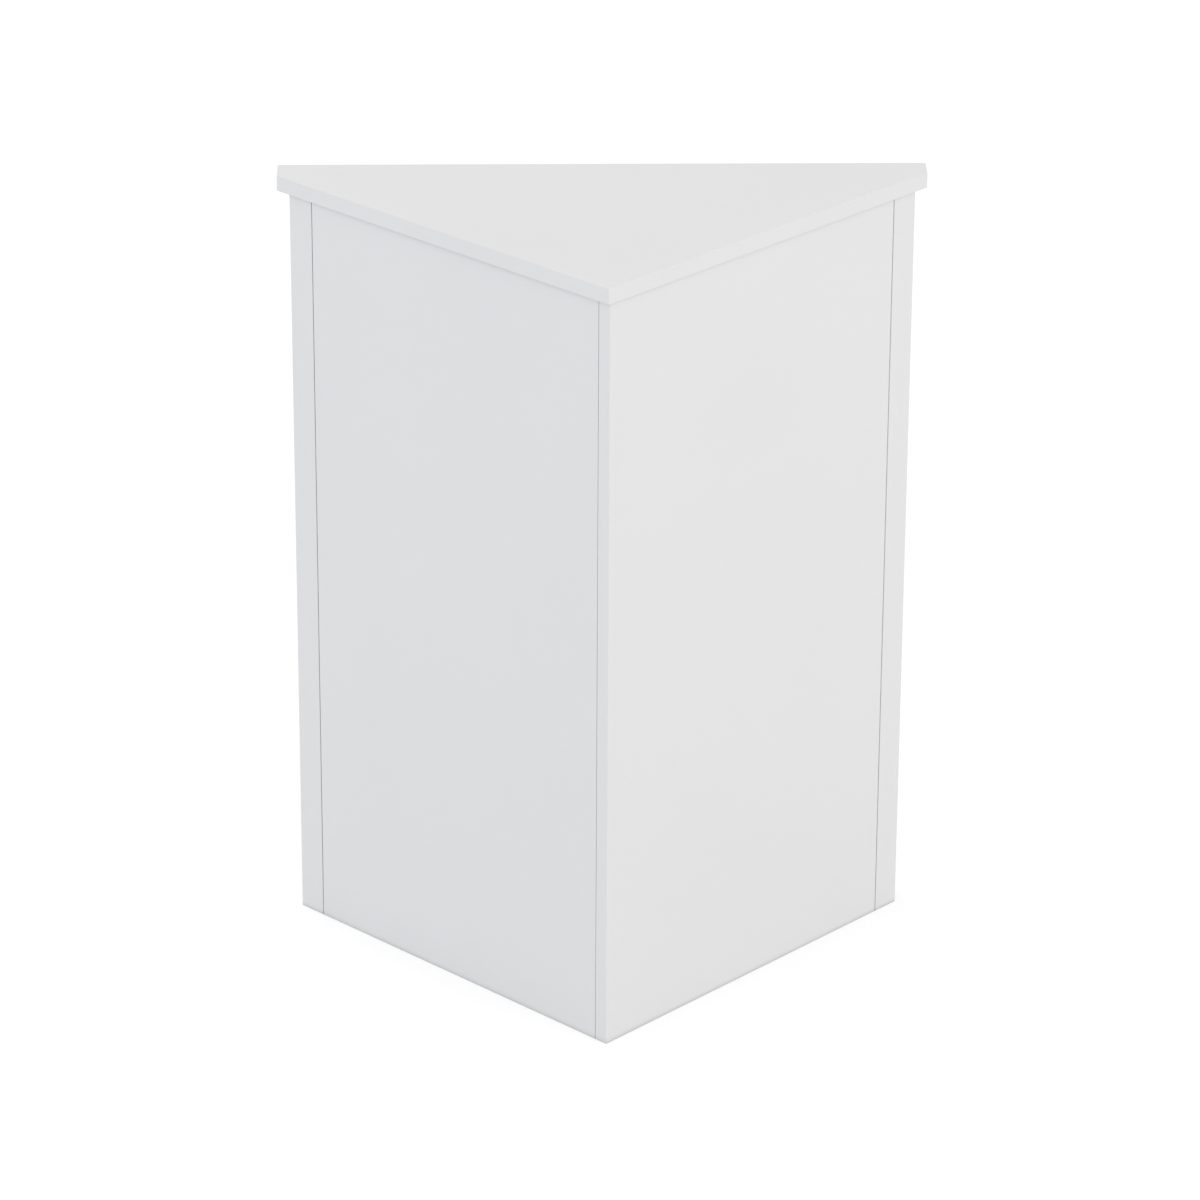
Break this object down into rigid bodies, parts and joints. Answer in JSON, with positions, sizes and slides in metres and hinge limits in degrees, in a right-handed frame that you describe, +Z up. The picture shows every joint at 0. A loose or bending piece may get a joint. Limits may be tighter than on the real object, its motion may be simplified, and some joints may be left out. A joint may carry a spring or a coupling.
{
  "type": "corner storage cabinet",
  "caption": "Free-standing triangular corner cabinet with a flat top, inner shelves and a louvred door hinged on one side.",
  "frame": {"origin": "on the floor, under the middle of the outer box", "axes": "+Z up, the door faces -Y, the rear corner points to +Y, +X to the right seen from the front"},
  "size_m": [0.6418, 0.3606, 0.8],
  "materials": {
    "white_board": "smooth white satin lacquer on fibreboard",
    "bare_plywood": "bare plywood",
    "satin_steel": "satin nickel plate",
    "zinc_steel": "bright zinc plate",
    "white_plastic": "moulded white plastic",
    "dark_magnet": "dull dark ferrite"
  },
  "bodies": {
    "carcass": {"bottom_panel": "white_board", "catch_housing": "white_plastic", "catch_magnet": "dark_magnet", "catch_plates": "zinc_steel", "floor_left_cleat": "white_board", "floor_right_cleat": "white_board", "hinge_frame_screws": "zinc_steel", "hinge_lower_frame_leaf": "satin_steel", "hinge_lower_pin": "satin_steel", "hinge_upper_frame_leaf": "satin_steel", "hinge_upper_pin": "satin_steel", "left_post": "white_board", "left_wall_panel": "white_board", "lower_left_cleat": "white_board", "lower_right_cleat": "white_board", "lower_shelf": "white_board", "plinth": "white_board", "plinth_cleat": "white_board", "right_post": "white_board", "right_wall_panel": "white_board", "top_panel": "white_board", "top_rail": "white_board", "top_tongues": "bare_plywood", "upper_left_cleat": "white_board", "upper_right_cleat": "white_board", "upper_shelf": "white_board"},
    "door": {"door_bottom_rail": "white_board", "door_left_stile": "white_board", "door_right_stile": "white_board", "door_slat_01": "white_board", "door_slat_02": "white_board", "door_slat_03": "white_board", "door_slat_04": "white_board", "door_slat_05": "white_board", "door_slat_06": "white_board", "door_slat_07": "white_board", "door_slat_08": "white_board", "door_slat_09": "white_board", "door_slat_10": "white_board", "door_slat_11": "white_board", "door_slat_12": "white_board", "door_slat_13": "white_board", "door_slat_14": "white_board", "door_slat_15": "white_board", "door_slat_16": "white_board", "door_slat_17": "white_board", "door_slat_18": "white_board", "door_slat_19": "white_board", "door_slat_20": "white_board", "door_slat_21": "white_board", "door_top_rail": "white_board", "hinge_door_screws": "zinc_steel", "hinge_lower_door_leaf": "satin_steel", "hinge_upper_door_leaf": "satin_steel", "knob": "satin_steel", "knob_screw": "zinc_steel", "strike_plate": "zinc_steel"}
  },
  "joints": [
    {"name": "door_hinge", "type": "hinge", "parent": "carcass", "child": "door", "pos_m": [-0.2469, -0.1575, 0.4125], "axis": [0, 0, -1], "range_deg": [0, 135]}
  ]
}
